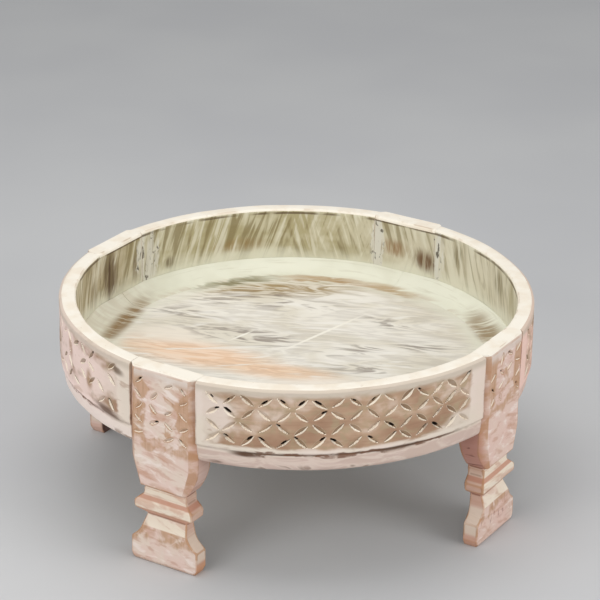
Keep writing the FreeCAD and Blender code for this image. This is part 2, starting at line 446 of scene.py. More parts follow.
def convexity(mesh):
    """How far each vertex stands out of its surroundings: 1 on an arris, -1 in a groove."""
    places = mesh_values(mesh.vertices, "co", 3)
    normals = mesh_values(mesh.vertices, "normal", 3)
    first, second = mesh_values(mesh.edges, "vertices", 2, np.int32).T
    run = places[second] - places[first]
    run /= np.maximum(np.linalg.norm(run, axis=1), least_length)[:, None]

    def gathered(at_first, at_second):
        total = np.zeros(len(places))
        np.add.at(total, first, at_first)
        np.add.at(total, second, at_second)
        return total

    links = np.maximum(gathered(1, 1), 1)
    standing = gathered(-(normals[first] * run).sum(axis=1), (normals[second] * run).sum(axis=1))
    standing = np.clip(edge_gain * standing / links, -1.0, 1.0)
    spread = gathered(standing[second], standing[first])
    return np.clip(edge_own_share * standing + edge_near_share * spread / links, -1.0, 1.0)


def add_reading(mesh, name, values):
    layer = mesh.attributes.new(name, "FLOAT", "POINT")
    layer.data.foreach_set("value", np.ascontiguousarray(values, dtype=np.float32).ravel())


def skin(name, rings, readings, slots, materials):
    """A closed mesh through rings of points, with a flat cap on both ends.

    The slots give the material of each face between rings, and those of the two caps.
    """
    count, size = rings.shape[:2]
    index = np.arange(count * size).reshape(count, size)
    beside = np.roll(index, -1, axis=1)
    quads = np.stack([index[:-1], index[1:], beside[1:], beside[:-1]], axis=-1).reshape(-1, 4)
    faces = quads.tolist() + [index[0].tolist(), index[-1][::-1].tolist()]
    mesh = bpy.data.meshes.new(name)
    mesh.from_pydata(rings.reshape(-1, 3).tolist(), [], faces)
    for material in materials:
        mesh.materials.append(material)
    between, caps = slots
    face_slots = np.broadcast_to(between, (count - 1, size)).ravel().tolist() + caps
    mesh.polygons.foreach_set("material_index", face_slots)
    for key, values in readings.items():
        add_reading(mesh, key, values)
    shape = bmesh.new()
    shape.from_mesh(mesh)
    bmesh.ops.recalc_face_normals(shape, faces=shape.faces)
    shape.to_mesh(mesh)
    shape.free()
    add_reading(mesh, "edge", convexity(mesh))
    mesh.shade_smooth()
    mesh.set_sharp_from_angle(angle=sharp_angle)
    return new_object(name, mesh)


def add_piece(piece, degrees, node):
    """Turns a piece to its side of the table and lets it replace its node."""
    piece.data.transform(turn_matrix(degrees))
    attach(piece, "root")
    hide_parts(node)


# Chip carving

def petal_luck(style, seed):
    """Each petal's spread, if it has a pit and where, if it is there, and its shade."""
    columns, rows = style["columns"], style["rows"]
    rng = np.random.default_rng(seed)
    spread = rng.normal(size=(7, columns, rows))
    luck = rng.uniform(size=(4, columns, rows))
    edge_row = np.isin(np.arange(rows), (0, rows - 1))
    pitted = luck[0] < np.where(edge_row, pit_chance_edge_rows, pit_chance_inner_rows)
    present = luck[1] >= style["missing"]
    shade = petal_least_shade + (1 - petal_least_shade) * luck[2]
    return spread, pitted, luck[3] + pit_start, present, shade


def chip_cut(along, up, style, seed, face):
    """Petals along alternate diagonals of a lattice, some with a deep pit below their upper edge.

    Gives each point of the face moved onto a petal's edge or bottom close to it, and its depth.
    The readings are the cut, its flank (dark upper ones near 1, lower ones -1), pits and the whole field.
    """
    columns, rows = style["columns"], style["rows"]
    spread, pitted, pit_place, present, shade = petal_luck(style, seed)
    column = np.clip(np.floor(along / petal_run).astype(int), 0, columns - 1)
    row = np.clip(np.floor(up / petal_rise).astype(int), 0, rows - 1)
    inside = face & (along > 0) & (along < columns * petal_run) & (up > 0) & (up < rows * petal_rise)
    inside &= present[column, row]
    lean = np.where((column + row) % 2 == 0, 1.0, -1.0)
    shift_along, shift_up, turn, longer, wider, deeper, larger = spread[:, column, row]
    middle_along = (column + 0.5) * petal_run + petal_shift * shift_along
    middle_up = (row + 0.5) * petal_rise + petal_shift * shift_up
    angle = lean * math.atan2(petal_rise, petal_run) + style["tilt"] * turn
    full_length = math.hypot(petal_run, petal_rise) * style["length"]
    half_length = full_length / 2 * (1 + petal_length_spread * longer)
    half_width = petal_half_width * style["width"] * (1 + petal_width_spread * wider)
    cosine = np.cos(angle)
    sine = np.sin(angle)
    away_along = along - middle_along
    away_up = up - middle_up
    length = away_along * cosine + away_up * sine
    across = away_up * cosine - away_along * sine
    lens = 1 - (length / half_length) ** 2
    opening = half_width * lens
    bottom = petal_bottom * opening
    within = inside & (np.abs(length) < half_length)
    near = carve_step / 2
    on_edge = within & (np.abs(np.abs(across) - opening) < near)
    on_bottom = within & (np.abs(across - bottom) < near) & (opening > 2 * near)
    across = np.where(on_edge, np.sign(across) * opening, np.where(on_bottom, bottom, across))
    above = across > bottom
    wide = np.maximum(np.where(above, opening - bottom, opening + bottom), hair)
    fall = np.clip(np.where(above, opening - across, opening + across) / wide, 0.0, 1.0)
    cut = np.where(within, fall * lens, 0.0)
    flank = np.where(cut > 0, np.where(above, shade[column, row], -1.0), 0.0)
    size = style["pit"] * np.clip(1 + pit_size_spread * larger, *pit_size_limits)
    pit_middle = half_length * lean * pit_place[column, row]
    pit_length = (length - pit_middle) / (pit_half_length * size)
    pit_across = (across - pit_rise * half_width) / (pit_half_width * size)
    pit = np.clip(pit_steepness * (1 - pit_length ** 2 - pit_across ** 2), 0.0, 1.0)
    pit = np.where(within & pitted[column, row] & (cut > 0), pit, 0.0)
    full_depth = petal_depth * style["depth"] * (1 + petal_depth_spread * deeper)
    depth = full_depth * cut + pit_depth * pit
    moved_along = np.where(inside, middle_along + length * cosine - across * sine, along)
    moved_up = np.where(inside, middle_up + length * sine + across * cosine, up)
    field = field_share(along, up, style) * face
    return moved_along, moved_up, depth, {"carve": cut, "flank": flank, "pit": pit, "field": field}


def field_share(along, up, style):
    """1 inside the carved field and 0 outside it, with a soft border."""
    wide = style["columns"] * petal_run
    high = style["rows"] * petal_rise
    inset = np.minimum(np.minimum(along, wide - along), np.minimum(up, high - up))
    return np.clip(inset / field_border + 0.5, 0.0, 1.0)


# Rim panels

def refined(points, step_of):
    """The outline in steps no longer than asked, and the stretch that each step is part of."""
    finer = []
    stretches = []
    for start, end in zip(points, points[1:] + points[:1]):
        count = max(1, math.ceil((end - start).length / step_of(start, end)))
        for part in range(count):
            finer.append(start.lerp(end, part / count))
            stretches.append((start, end))
    return finer, stretches


def rim_section():
    """The panel's section in fine steps, and each step's slot: outside, top or inner wall."""
    loop = front_section("rim_front")
    outside = max(point.x for point in loop)
    inside = min(point.x for point in loop)
    middle = (inside + outside) / 2

    def step_of(start, end):
        return carve_step if min(start.x, end.x) > outside - touch else coarse_step

    finer, stretches = refined(loop, step_of)
    slots = []
    for start, end in stretches:
        reach = bevel_reach if max(start.x, end.x) < middle else hair
        level = min(start.y, end.y) > rim_top - reach
        wall = max(start.x, end.x) < inside + touch
        slots.append(top_slot if level else wall_slot if wall else outer_slot)
    radius, height = np.array(finer).T
    face = radius > outside - touch
    radius = eased(radius, rim_ease_passes, "joined")
    height = eased(height, rim_ease_passes, "joined")
    return radius, height, face, slots


def rim_panel(name, materials):
    """A curved panel between two legs, carved on its outside."""
    radius, height, face, slots = rim_section()
    outside = radius.max()
    inside = radius.min()
    half_leg = leg_half_width()
    columns = math.ceil(outside * (quarter - 2 * math.asin(half_leg / outside)) / carve_step)
    half_angle = quarter / 2 - np.arcsin(half_leg / radius)[None, :]
    angle = np.linspace(-1.0, 1.0, columns)[:, None] * half_angle
    carving = panel_carvings[name]
    start = panel_carve_shift[name] - carving["columns"] * petal_run / 2
    along = angle * outside - start
    low = rim_top - carve_drop - carving["rows"] * petal_rise
    seed = panel_seed + list(panel_angles).index(name)
    carved = np.broadcast_to(face, angle.shape).copy()
    carved[[0, -1]] = False
    moved, raised, depth, readings = chip_cut(along, height - low, carving, seed, carved)
    angle = (moved + start) / outside
    height = raised + low
    radius = radius - depth
    place = round_places(radius, angle, height)
    outward, upward = panel_waves
    drift = wander * wobble(place, outward, seed)
    radius = radius + np.where(radius > (inside + outside) / 2, drift, -drift)
    lift = top_wander * wobble(place, upward, seed + second_seed)
    height = height + np.where(height > rim_top - bevel_reach, lift, 0.0)
    readings["along"] = (angle + math.radians(panel_angles[name])) * outside
    readings["ends"] = (half_angle - np.abs(angle)) * outside
    readings["under"] = height - height[:, face].min()
    readings["wash"] = np.full(height.shape, panel_wash[name])
    place = round_places(radius, angle, height)
    piece = skin("carved_rim_" + name, place, readings, (slots, [outer_slot] * 2), materials)
    add_piece(piece, panel_angles[name], "rim_" + name)


# Legs

def leg_ring(row, face_steps):
    """The points of one level of a leg, round from its left front edge."""
    height, half, edge, front, back = row
    bevel = half - edge
    edge = min(edge, half - edge_ease)
    corner = front - max(bevel, edge_ease)
    side = np.linspace(corner, back + edge_ease, leg_side_steps)
    face = [(front, offset) for offset in np.linspace(-edge, edge, face_steps)]
    right = [(depth, half) for depth in side]
    rear = [(back, offset) for offset in np.linspace(half - edge_ease, edge_ease - half, leg_back_steps)]
    left = [(depth, -half) for depth in side[::-1]]
    return [(x, y, height) for x, y in face + right + rear + left]


def shrunk(rings, inset):
    """The rings drawn in towards their middles."""
    middle = rings.mean(axis=1, keepdims=True)
    reach = np.ptp(rings, axis=1, keepdims=True) / 2
    return middle + (rings - middle) * np.maximum(1 - inset / np.maximum(reach, inset), 0)


def capped(rings):
    """The rings with smaller ones added inside both ends, so that the caps shade evenly."""
    smaller = [shrunk(rings, inset) for inset in cap_insets]
    low = [ring[:1] for ring in reversed(smaller)]
    top = [ring[-1:] for ring in smaller]
    return np.concatenate(low + [rings] + top)


def leg_slots(rings, inner):
    """The slots of a leg's faces: leg, top by the rim's edges, inner wall above the floor."""
    slots = np.zeros((rings.shape[0] - 1, rings.shape[1]), dtype=int)
    rear = slice(inner - 1, inner + leg_back_steps)
    slots[rings[1:, 0, 2] > floor_top, rear] = wall_slot
    slots[rings[1:, inner, 2] > rim_top - bevel_reach, rear] = top_slot
    slots[rings[1:, 0, 2] > rim_top - edge_ease] = top_slot
    return slots


def leg_readings(name, rings, inner, half_width, low):
    """What the paint goes by on a leg."""
    shape = rings.shape[:2]
    side = np.zeros(shape)
    side[:, inner - leg_side_steps:inner] = 1.0
    side[:, inner + leg_back_steps:] = 1.0
    back = np.zeros(shape)
    back[:, inner:inner + leg_back_steps] = 1.0
    angle = np.arctan2(rings[..., 1], rings[..., 0]) + math.radians(leg_angles[name])
    return {
        "side": side,
        "back": back,
        "along": angle * rim_radius,
        "ends": half_width - np.abs(rings[..., 1]),
        "below": low - rings[..., 2],
        "toe": np.full(shape, leg_toe_rub[name]),
    }


def carved_leg(name, levels, materials):
    """A moulded plank leg, with petals on the face of its head."""
    _, half_widths, face_widths, _, _ = levels.T
    face_steps = math.ceil(2 * face_widths.max() / carve_step)
    inner = face_steps + leg_side_steps
    rings = capped(np.array([leg_ring(row, face_steps) for row in levels]))
    carving = dict(leg_carving, rows=leg_rows[name])
    run = carving["columns"] * petal_run
    low = rim_top - carve_drop - carving["rows"] * petal_rise
    seed = leg_seed + list(leg_angles).index(name)
    face = np.zeros(rings.shape[:2], dtype=bool)
    face[:, 1:face_steps - 1] = True
    face &= (rings[..., 2] > rim_bottom) & (rings[..., 2] < rim_top - bevel_reach)
    along = rings[..., 1] + run / 2
    up = rings[..., 2] - low
    moved, raised, depth, readings = chip_cut(along, up, carving, seed, face)
    rings[..., 0] -= depth
    rings[..., 1] = moved - run / 2
    rings[..., 2] = raised + low
    outward, sideways = leg_waves
    rings[..., 0] += wander * wobble(rings, outward, seed)
    rings[1:-1, :, 1] += wander * wobble(rings, sideways, seed + second_seed)[1:-1]
    readings.update(leg_readings(name, rings, inner, half_widths.max(), low))
    slots = leg_slots(rings, inner), [outer_slot, top_slot]
    piece = skin("carved_leg_" + name, rings, readings, slots, materials)
    add_piece(piece, leg_angles[name], "leg_" + name)


# Coves

def cove_strip(name, levels, material):
    """A smooth hollow moulding along one panel, from leg middle to leg middle."""
    loop = front_section("cove_front")
    toe = min(point.x for point in loop)
    wall = max(point.x for point in loop)
    low = min(point.y for point in loop)
    top = max(point.y for point in loop)
    hollow = [point for point in loop if low + touch < point.y and point.x < wall - touch]
    curve = np.polyfit([point.x for point in hollow], [point.y for point in hollow], hollow_degree)
    across = np.linspace(toe, max(point.x for point in hollow), cove_across_steps)
    radius = np.concatenate([across, [wall, wall, toe]])
    height = np.concatenate([np.polyval(curve, across), [top, low, low]])
    height[0] = floor_top + hair
    leg_heights, _, _, _, leg_backs = levels.T
    leg_back = leg_backs[leg_heights > top].min()
    angle = np.linspace(-quarter / 2, quarter / 2, cove_along_steps)[:, None]
    angle = angle * (1 - joint_gap / wall)
    reach = np.minimum(wall, (leg_back - touch) / np.cos(quarter / 2 - np.abs(angle)))
    radius = toe + (radius[None, :] - toe) * (reach - toe) / (wall - toe)
    place = round_places(radius, angle, np.broadcast_to(height, radius.shape))
    seed = cove_seed + list(panel_angles).index(name)
    uneven = slice(1, cove_across_steps)
    place[:, uneven, 2] += cove_wander * wobble(place, cove_waves, seed)[:, uneven]
    round_angle = angle + math.radians(panel_angles[name])
    readings = {"along": np.broadcast_to(round_angle * wall, radius.shape)}
    piece = skin("smooth_cove_" + name, place, readings, (0, [0, 0]), (material,))
    add_piece(piece, panel_angles[name], "cove_" + name)


# Materials

def paint(code):
    """A colour written as a web code, in the renderer's linear values."""
    levels = [int(code[start:start + 2], 16) / 255 for start in (1, 3, 5)]
    linear = [level / 12.92 if level <= 0.04045 else ((level + 0.055) / 1.055) ** 2.4 for level in levels]
    return (*linear, 1.0)


class Finish:
    """A node material in the making, with its colour so far and short calls for its nodes."""

    def __init__(self, name):
        self.material = bpy.data.materials.new(name)
        self.material.use_nodes = True
        self.tree = self.material.node_tree
        self.shader = self.tree.nodes["Principled BSDF"]
        self.colour = None

    def add(self, kind, values, **settings):
        """The outputs of a new shader node with its settings, and values fed to its inputs."""
        node = self.tree.nodes.new("ShaderNode" + kind)
        for key, value in settings.items():
            setattr(node, key, value)
        self.feed(node, values)
        return node.outputs

    def feed(self, node, values):
        """Links outputs to a node's inputs, or sets these to numbers, vectors or web codes of colours."""
        for key, value in values.items():
            if isinstance(value, bpy.types.NodeSocket):
                self.tree.links.new(value, node.inputs[key])
            elif isinstance(value, str):
                node.inputs[key].default_value = paint(value)
            else:
                node.inputs[key].default_value = value

    def reading(self, name):
        return self.add("Attribute", {}, attribute_name=name)["Fac"]

    def solid_place(self):
        """Where a point is in the table's own frame."""
        return self.add("TexCoord", {})["Object"]

    def coordinate(self, axis):
        """A point's X, Y or Z in the table's own frame."""
        return self.add("SeparateXYZ", {0: self.solid_place()})[axis]

    def surface_place(self):
        """Where a point is along the surface and upwards."""
        values = {"X": self.reading("along"), "Y": self.coordinate("Z")}
        return self.add("CombineXYZ", values)[0]

    def length(self, place):
        return self.add("VectorMath", {0: place}, operation="LENGTH")["Value"]

    def reach(self, place):
        """How far a point is from the table's upright axis."""
        return self.length(self.stretched(place, (1, 1, 0)))

    def stretched(self, place, scale, slant=0.0):
        values = {"Vector": place, "Angle": slant}
        turned = self.add("VectorRotate", values, rotation_type="Z_AXIS")[0]
        return self.add("VectorMath", {0: turned, 1: scale}, operation="MULTIPLY")[0]

    def noise(self, place, scale, slant=0.0, detail=3.0, warp=0.0):
        values = {"Vector": self.stretched(place, scale, slant), "Scale": 1.0, "Detail": detail}
        values.update({"Roughness": noise_roughness, "Distortion": warp})
        return self.add("TexNoise", values)[0]

    def calc(self, operation, first, *others):
        """One operation on two or more values, from left to right."""
        for other in others:
            first = self.add("Math", {0: first, 1: other}, operation=operation)[0]
        return first

    def times(self, *values):
        return self.calc("MULTIPLY", *values)

    def plus(self, *values):
        return self.calc("ADD", *values)

    def most(self, *values):
        return self.calc("MAXIMUM", *values)

    def span(self, value, low, high, start=0.0, end=1.0):
        """The value's way from low to high, eased, as a share between start and end."""
        values = {"Value": value, "From Min": low, "From Max": high, "To Min": start, "To Max": end}
        return self.add("MapRange", values, interpolation_type="SMOOTHSTEP")[0]

    def within(self, value, low, high, fade):
        """1 between low and high and 0 outside, with soft borders."""
        return self.times(self.span(value, low - fade, low), self.span(value, high + fade, high))

    def patch(self, place, middle, half_sizes, slant):
        """A soft oval patch: 1 in its middle and 0 past its border."""
        values = {0: place, 1: (*middle, 0.0)}
        offset = self.add("VectorMath", values, operation="SUBTRACT")[0]
        scale = (1 / half_sizes[0], 1 / half_sizes[1], 0.0)
        away = self.length(self.stretched(offset, scale, -math.radians(slant)))
        return self.span(away, 1.0, patch_core)

    def blend(self, share, one, other):
        return self.add("Mix", {0: share, 6: one, 7: other}, data_type="RGBA")[2]

    def base(self, one, other, texture, low, high):
        """Sets the first colour: from one to the other as a texture goes from low to high."""
        self.colour = self.blend(self.span(texture, low, high), one, other)

    def coat(self, colour, strength, *shares):
        """Lays a colour over the colour so far, as far as its strength and all the shares let it."""
        self.colour = self.blend(self.times(strength, *shares), self.colour, colour)

    def marks(self, place, ovals, cover):
        """Lays an oval coat for each mark, broken up by the cover."""
        for *oval, colour, strength in ovals:
            self.coat(colour, strength, self.patch(place, *oval), cover)

    def done(self, texture, roughness, relief, relief_height):
        """Ties the colour, a roughness that follows a texture and the relief to the shader."""
        values = {"Strength": 1.0, "Distance": relief_height, "Height": relief}
        normal = self.add("Bump", values)[0]
        gloss = self.span(texture, *gloss_span, *roughness)
        self.feed(self.shader, {"Base Color": self.colour, "Roughness": gloss})
        self.feed(self.shader, {"Normal": normal, "Specular IOR Level": sheen})
        return self.material


def carved_shade_and_highlight_coats(mix, contrast):
    """Painted shade on the upper flanks with a worn lip, a painted highlight on the lower flanks, and
    painted shade in the pits.
    """
    carve = mix.reading("carve")
    flank = mix.reading("flank")
    cut = mix.span(carve, 0.02, 0.15)
    # Painted shade on the upper flanks, as dark as each petal's shade
    mix.coat("#836C52", 0.7 * contrast, cut, mix.span(flank, 0.0, 1.0))
    lip = mix.times(mix.within(carve, 0.06, 0.16, 0.05), mix.span(flank, 0.1, 0.5))
    mix.coat("#E2CFB6", 0.55, lip)
    # Painted highlight on the lower flanks, which face up towards the light
    mix.coat("#FFF3E0", 1.0, cut, mix.span(flank, 0.0, -0.6))
    # Painted shade in the deep pits
    mix.coat("#261A12", 1.0, mix.span(mix.reading("pit"), 0.05, 0.4))


# Paint on the outside of the rim

def rim_bare_share(mix, place, smear, cloud, blot):
    """How far the whitewash is rubbed off: most over the carving, less by the ends."""
    worn = mix.plus(mix.times(cloud, 0.75), mix.times(blot, 0.25))
    worn = mix.plus(worn, mix.span(mix.reading("ends"), *end_wear, -0.08, 0.04))
    worn = mix.calc("SUBTRACT", worn, mix.reading("wash"))
    for *oval, strength in white_patches:
        worn = mix.calc("SUBTRACT", worn, mix.times(mix.patch(place, *oval), strength))
    field = mix.span(mix.plus(mix.reading("field"), mix.times(smear, 1.6)), 1.0, 1.6)
    bare = mix.times(field, mix.span(worn, 0.33, 0.52, 0.12, 0.95))
    return mix.most(bare, mix.span(smear, 0.60, 0.70, 0.0, 0.45))


def rim_wood(mix, grain, cloud, blot):
    """Tan wood with greyer blots and dark grain."""
    wood = mix.blend(mix.span(cloud, 0.36, 0.64), "#C4A487", "#A47E63")
    wood = mix.blend(mix.span(blot, 0.48, 0.66, 0.0, 0.5), wood, "#A99A79")
    return mix.blend(mix.span(grain, 0.50, 0.70, 0.0, 0.25), wood, "#8A684F")


def rim_band_coat(mix, smear):
    """The plain band below the scored line, whiter on a washed panel."""
    band = mix.blend(mix.span(smear, 0.42, 0.58), "#C8AB9F", "#DDC8BB")
    band = mix.blend(mix.span(mix.reading("wash"), 0.08, 0.12, 0.0, 0.8), band, "#FBEEE4")
    mix.coat(band, 0.7, mix.span(mix.reading("under"), *band_start))


def rim_dirt_and_shade_coats(mix, place, smear, cloud, blot):
    """Dirt and painted shade in the scored line, and dirt in marks, along the low edge and in the seams."""
    ends = mix.reading("ends")
    under = mix.reading("under")
    filled = mix.span(ends, *end_fill, 0.15, 1.0)
    # Painted shade with some dirt: darker wherever the surface is concave, most in the scored line and the
    # petals' bottoms, less near the ends
    groove = mix.span(mix.reading("edge"), -0.06, -0.35)
    mix.coat("#503B2C", 0.85, groove, mix.span(cloud, 0.36, 0.54, 0.35, 1.0), filled)
    ragged = mix.plus(under, mix.span(smear, 0.36, 0.64, -fringe_stray, fringe_stray))
    fringe = mix.within(ragged, *score_fringe)
    mix.coat("#7A5641", 1.0, fringe, filled, mix.span(blot, 0.40, 0.58, 0.15, 0.9))
    mix.marks(place, outside_marks, mix.span(smear, 0.36, 0.52, 0.4, 1.0))
    mix.coat("#7C5D4A", 0.6, mix.span(under, *low_edge), mix.span(smear, 0.55, 0.62))
    seam = mix.times(mix.span(ends, *seam_width), mix.span(smear, 0.4, 0.6, 0.1, 0.6))
    mix.coat("#8A6A55", 1.0, seam, mix.span(mix.coordinate("Z"), *seam_fade))


def rim_paint():
    """Whitewash on the outside of the rim, rubbed through to tan wood over the carving."""
    mix = Finish("rim_paint")
    place = mix.surface_place()
    grain = mix.noise(place, (14, 300, 1))
    smear = mix.noise(place, (20, 60, 1), warp=0.8)
    cloud = mix.noise(place, (11, 20, 1))
    blot = mix.noise(place, (45, 60, 1), warp=0.5)
    east = mix.coordinate("X")
    mix.base("#EADACE", "#E7DACA", cloud, 0.38, 0.62)
    mix.coat("#F6CABC", 0.85, mix.span(east, *rim_pink_right))
    mix.coat("#FCE2DA", 0.85, mix.span(east, *rim_pink_left))
    mix.coat(rim_wood(mix, grain, cloud, blot), 1.0, rim_bare_share(mix, place, smear, cloud, blot))
    # Painted shade: greyer just below the top edge
    mix.coat("#C8BBA9", 0.7, mix.span(mix.coordinate("Z"), *rim_brow_shade))
    rim_band_coat(mix, smear)
    rim_dirt_and_shade_coats(mix, place, smear, cloud, blot)
    carved_shade_and_highlight_coats(mix, 1.0)
    relief = mix.plus(mix.times(grain, 0.5), smear)
    return mix.done(grain, (0.50, 0.75), relief, wood_relief)


# Paint on the top and the inside of the rim

def top_paint():
    """Thick cream whitewash on the top of the rim, thin along its edges."""
    mix = Finish("top_paint")
    place = mix.solid_place()
    cloud = mix.noise(place, (26, 26, 26))
    speck = mix.noise(place, (120, 120, 120), detail=4.0)
    mix.base("#F6EFE1", "#EFE4D2", cloud, 0.40, 0.66)
    mix.coat("#C3AC92", 0.4, mix.span(speck, 0.68, 0.76))
    edge = mix.span(mix.reading("edge"), 0.15, 0.5)
    mix.coat("#B09578", 0.5, edge, mix.span(cloud, 0.50, 0.62))
    return mix.done(cloud, (0.45, 0.65), mix.plus(cloud, speck), thick_relief)


def wall_strokes(mix, place, east):
    """Upright brush strokes, which lean one way on the right and the other way on the left."""
    right = mix.noise(place, (85, 9, 1), slant=0.34, detail=2.5, warp=0.7)
    left = mix.noise(place, (85, 9, 1), slant=-0.36, detail=2.5, warp=0.7)
    lean = mix.plus(mix.noise(place, (7, 3, 1), detail=1.0), east)
    return mix.span(lean, 0.58, 0.70, left, right)


def drip_coats(mix, place, stroke, fibre):
    """Pale filler that oozed from the joints, with dark holes in it."""
    speck = mix.noise(place, (100, 55, 1), detail=2.0, warp=1.2)
    for *oval, strength in wall_drips:
        zone = mix.patch(place, *oval)
        oozed = mix.plus(zone, stroke, mix.times(speck, 1.3))
        drip = mix.times(mix.span(oozed, 1.30, 1.75), mix.span(zone, 0.0, 0.3))
        drip = mix.times(drip, mix.span(fibre, 0.62, 0.50, 0.25, 1.0))
        mix.coat("#D9D6CA", strength, drip)
        mix.coat("#4A4132", 0.85, drip, mix.span(speck, 0.60, 0.68))


def wall_paint():
    """Brushed khaki wash inside the rim, with rubs, a pale foot and drips."""
    mix = Finish("wall_paint")
    place = mix.surface_place()
    east = mix.coordinate("X")
    height = mix.coordinate("Z")
    stroke = wall_strokes(mix, place, east)
    cloud = mix.noise(place, (12, 24, 1))
    fibre = mix.noise(place, (190, 11, 1), slant=-0.08, detail=2.0, warp=0.5)
    mix.base("#C6BFA2", "#AEA47F", cloud, 0.38, 0.62)
    mix.coat("#DAD4C0", 0.7, mix.span(east, *wall_pale_right))
    mix.coat("#B8A890", 0.5, mix.span(east, *wall_dull_left))
    brushed = mix.times(mix.span(stroke, 0.50, 0.37), mix.span(east, *wall_soft_right, 1.0, 0.6))
    mix.coat("#83754E", 0.75, brushed)
    level = mix.plus(height, mix.times(cloud, foot_stray))
    mix.coat("#E4E3D0", 0.80, mix.span(level, *wall_foot))
    mix.marks(place, wall_marks, mix.span(fibre, 0.42, 0.58, 0.50, 1.0))
    mix.coat("#DEDAC6", 0.70, mix.span(stroke, 0.52, 0.64))
    drip_coats(mix, place, stroke, fibre)
    brink = mix.within(height, *wall_brink)
    mix.coat("#5C4A34", 0.8, brink, mix.span(cloud, 0.40, 0.54))
    return mix.done(stroke, (0.50, 0.75), stroke, brush_relief)


# Paint on the legs

def leg_wash(mix, east, brush, cloud, mottle):
    """Pinkish whitewash, brushed and mottled."""
    mix.base("#E6CCC0", "#E6D4C5", cloud, 0.40, 0.62)
    mix.coat("#E2BFB2", 0.5, east)
    mix.coat("#CBA189", 0.6, mix.span(brush, 0.52, 0.66))
    mix.coat("#C79A82", 0.55, mix.span(mottle, 0.53, 0.66))
    mix.coat("#F6E8E0", 0.65, mix.span(mottle, 0.46, 0.34))


def leg_wood_coat(mix, height, grain, blot, cloud):
    """Tan wood along the head's sides, below the carving and on the foot."""
    strip = mix.within(mix.reading("ends"), *leg_strip)
    rubbed = mix.span(mix.plus(mix.times(strip, 0.20), blot), 0.54, 0.66)
    head = mix.times(mix.reading("field"), rubbed)
    ragged = mix.span(cloud, 0.30, 0.70, -rub_stray, rub_stray)
    hem = mix.within(mix.plus(mix.reading("below"), ragged), *leg_hem)
    hem = mix.times(hem, mix.span(blot, 0.36, 0.54, 0.1, 0.9))
    foot = mix.within(mix.plus(height, ragged), *foot_rub)
    foot = mix.times(foot, mix.span(blot, 0.38, 0.54))
    wood = mix.blend(mix.span(grain, 0.36, 0.72, 0.0, 0.7), "#C8A081", "#AE845F")
    mix.coat(wood, 0.85, mix.most(head, hem, foot))


def leg_waist_coats(mix, height, brush):
    """A tan waist with cream bands."""
    mix.coat("#CB987F", 0.85, mix.within(height, *leg_waist))
    for borders in cream_bands:
        band = mix.within(height, *borders, band_fade)
        mix.coat("#F2E6D3", 1.0, band, mix.span(brush, 0.62, 0.50, 0.4, 0.9))


def leg_side_coats(mix, height, east, cloud, scratch):
    """Flushed sides: pale head and foot, scored block, scraped foot and rubbed toes."""
    side = mix.reading("side")
    mix.coat("#C08C78", 1.0, side, mix.span(cloud, 0.36, 0.60, 0.25, 0.70))
    mix.coat("#E2D6CC", 0.8, side, mix.span(height, *head_side))
    block = mix.times(side, mix.within(height, *block_side))
    mix.coat("#BC8577", 0.75, block, east)
    mix.coat("#7A4C3E", 0.7, block, mix.span(scratch, 0.64, 0.70))
    scraped = mix.times(mix.within(height, *foot_scrape), mix.span(scratch, 0.58, 0.68))
    mix.coat("#A8766A", 0.6, scraped, east)
    mix.coat("#E6D6C4", 0.75, side, mix.within(height, *foot_side))
    toe = mix.times(side, mix.reading("toe"), mix.span(height, *toe_side))
    mix.coat("#CF9468", 0.75, toe)


def leg_edge_wear_and_groove_shade_coats(mix, height, blot):
    """A pale brow below the top, rubbed edges, and painted shade in the grooves."""
    mix.coat("#E0D5CB", 0.7, mix.span(height, *leg_brow))
    edge = mix.reading("edge")
    rubbed = mix.times(mix.span(edge, 0.08, 0.32), mix.span(blot, 0.38, 0.56, 0.30, 0.95))
    mix.coat("#B98A64", 0.80, rubbed)
    # Painted shade: darker wherever the leg's surface is concave
    mix.coat("#8A5F4C", 0.7, mix.span(edge, -0.08, -0.40))


def leg_paint():
    """Pinkish whitewash on the legs, rubbed to tan in patches, with cream bands."""
    mix = Finish("leg_paint")
    place = mix.surface_place()
    height = mix.coordinate("Z")
    east = mix.span(mix.coordinate("X"), *leg_pink_right)
    grain = mix.noise(place, (300, 14, 1))
    blot = mix.noise(place, (38, 34, 1), warp=0.7)
    brush = mix.noise(place, (16, 46, 1), slant=0.20, warp=0.8)
    cloud = mix.noise(place, (24, 20, 1))
    scratch = mix.noise(place, (170, 60, 1), detail=2.0, warp=1.0)
    mottle = mix.noise(place, (34, 88, 1), slant=0.12, detail=3.5, warp=0.4)
    leg_wash(mix, east, brush, cloud, mottle)
    leg_wood_coat(mix, height, grain, blot, cloud)
    leg_waist_coats(mix, height, brush)
    leg_side_coats(mix, height, east, cloud, scratch)
    leg_edge_wear_and_groove_shade_coats(mix, height, blot)
    carved_shade_and_highlight_coats(mix, 0.65)
    mix.coat("#502822", 0.85, mix.reading("back"))
    relief = mix.plus(mix.times(grain, 0.4), brush)
    return mix.done(grain, (0.50, 0.75), relief, wood_relief)


# Paint in the tray

def brown_coats(mix, place, fine, toe):
    """Bare brown wood in rubs, and a line of painted shade and rubbed wood along the foot of the moulding,
    on floor and moulding alike.
    """
    mix.marks(place, brown_rubs, mix.span(fine, 0.34, 0.56, 0.25, 1.0))
    ragged = mix.plus(mix.reach(place), mix.span(fine, 0.30, 0.70, -line_stray, line_stray))
    # Painted shade and rubbed wood in a line along the cove's toe
    line = mix.within(ragged, *(toe + border for border in edge_line), line_fade)
    mix.marks(place, toe_shade_and_rub_lines, mix.times(line, mix.span(fine, 0.36, 0.60, 0.60, 1.0)))


